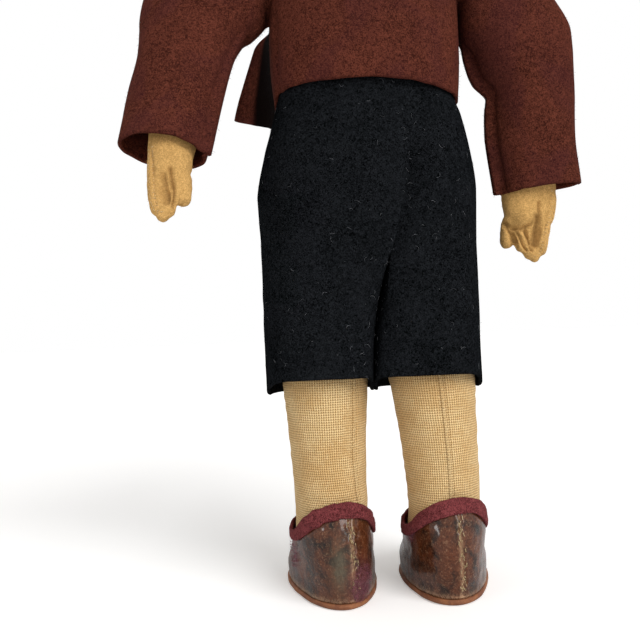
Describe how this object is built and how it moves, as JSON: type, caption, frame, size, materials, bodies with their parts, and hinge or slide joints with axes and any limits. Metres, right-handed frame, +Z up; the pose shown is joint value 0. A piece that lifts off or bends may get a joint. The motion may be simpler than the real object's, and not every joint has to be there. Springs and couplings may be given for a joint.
{
  "type": "doll",
  "caption": "Jointed felt doll with a swivel head, arms and legs, in a felt jacket, felt shorts, knitted stockings and leather slippers.",
  "frame": {"origin": "middle of the bounding box's underside, on the plane that both soles stand on", "axes": "+Z up from the soles to the crown; the doll faces -Y; its own left side is towards +X"},
  "size_m": [0.1874, 0.104, 0.3497],
  "materials": {
    "skin_felt": "matte",
    "face_felt": "matte",
    "jacket_felt": "matte",
    "shorts_felt": "matte",
    "stocking_knit": "matte",
    "slipper_leather": "satin",
    "trim_felt": "matte",
    "sole_leather": "matte",
    "shirt_cotton": "matte",
    "hair_mohair": "matte",
    "eye_glass": "gloss",
    "hardboard": "matte",
    "steel": "satin"
  },
  "bodies": {
    "torso": {"torso": "skin_felt", "shirt": "shirt_cotton", "shirt_collar": "shirt_cotton", "jacket_back": "jacket_felt", "jacket_front_left": "jacket_felt", "jacket_front_right": "jacket_felt", "jacket_collar": "jacket_felt", "shorts_seat": "shorts_felt", "shoulder_left_body_disc": "hardboard", "shoulder_left_body_washer": "steel", "shoulder_left_pin": "steel", "shoulder_right_body_disc": "hardboard", "shoulder_right_body_washer": "steel", "shoulder_right_pin": "steel", "hip_left_body_disc": "hardboard", "hip_left_body_washer": "steel", "hip_left_pin": "steel", "hip_right_body_disc": "hardboard", "hip_right_body_washer": "steel", "hip_right_pin": "steel", "neck_body_disc": "hardboard", "neck_body_washer": "steel", "neck_pin": "steel"},
    "arm_left": {"arm_left": "skin_felt", "sleeve_left": "jacket_felt", "shoulder_left_limb_disc": "hardboard", "shoulder_left_limb_washer": "steel"},
    "leg_left": {"leg_left": "skin_felt", "stocking_left": "stocking_knit", "shorts_leg_left": "shorts_felt", "slipper_upper_left": "slipper_leather", "slipper_trim_left": "trim_felt", "slipper_tongue_left": "sole_leather", "slipper_sole_left": "sole_leather", "hip_left_limb_disc": "hardboard", "hip_left_limb_washer": "steel"},
    "arm_right": {"arm_right": "skin_felt", "sleeve_right": "jacket_felt", "shoulder_right_limb_disc": "hardboard", "shoulder_right_limb_washer": "steel"},
    "leg_right": {"leg_right": "skin_felt", "stocking_right": "stocking_knit", "shorts_leg_right": "shorts_felt", "slipper_upper_right": "slipper_leather", "slipper_trim_right": "trim_felt", "slipper_tongue_right": "sole_leather", "slipper_sole_right": "sole_leather", "hip_right_limb_disc": "hardboard", "hip_right_limb_washer": "steel"},
    "head": {"head": "face_felt", "hair": "hair_mohair", "eye_left": "eye_glass", "eye_right": "eye_glass", "ear_left": "face_felt", "ear_right": "face_felt", "neck_limb_disc": "hardboard", "neck_limb_washer": "steel"}
  },
  "joints": [
    {"name": "neck_swivel", "type": "hinge", "parent": "torso", "child": "head", "pos_m": [-0.0037, -0.00344, 0.28515], "axis": [0, 0, 1], "continuous": true},
    {"name": "shoulder_left", "type": "hinge", "parent": "torso", "child": "arm_left", "pos_m": [0.0273, -0.00344, 0.262], "axis": [1, 0, 0], "range_deg": [-165, 15], "deforming": ["jacket_front_left"]},
    {"name": "shoulder_right", "type": "hinge", "parent": "torso", "child": "arm_right", "pos_m": [-0.0347, -0.00344, 0.262], "axis": [1, 0, 0], "range_deg": [-140, 40]},
    {"name": "hip_left", "type": "hinge", "parent": "torso", "child": "leg_left", "pos_m": [0.0083, -0.00344, 0.168], "axis": [1, 0, 0], "range_deg": [-90, 30], "deforming": ["shorts_seat"]},
    {"name": "hip_right", "type": "hinge", "parent": "torso", "child": "leg_right", "pos_m": [-0.0157, -0.00344, 0.168], "axis": [1, 0, 0], "range_deg": [-90, 30], "deforming": ["shorts_seat"]}
  ]
}
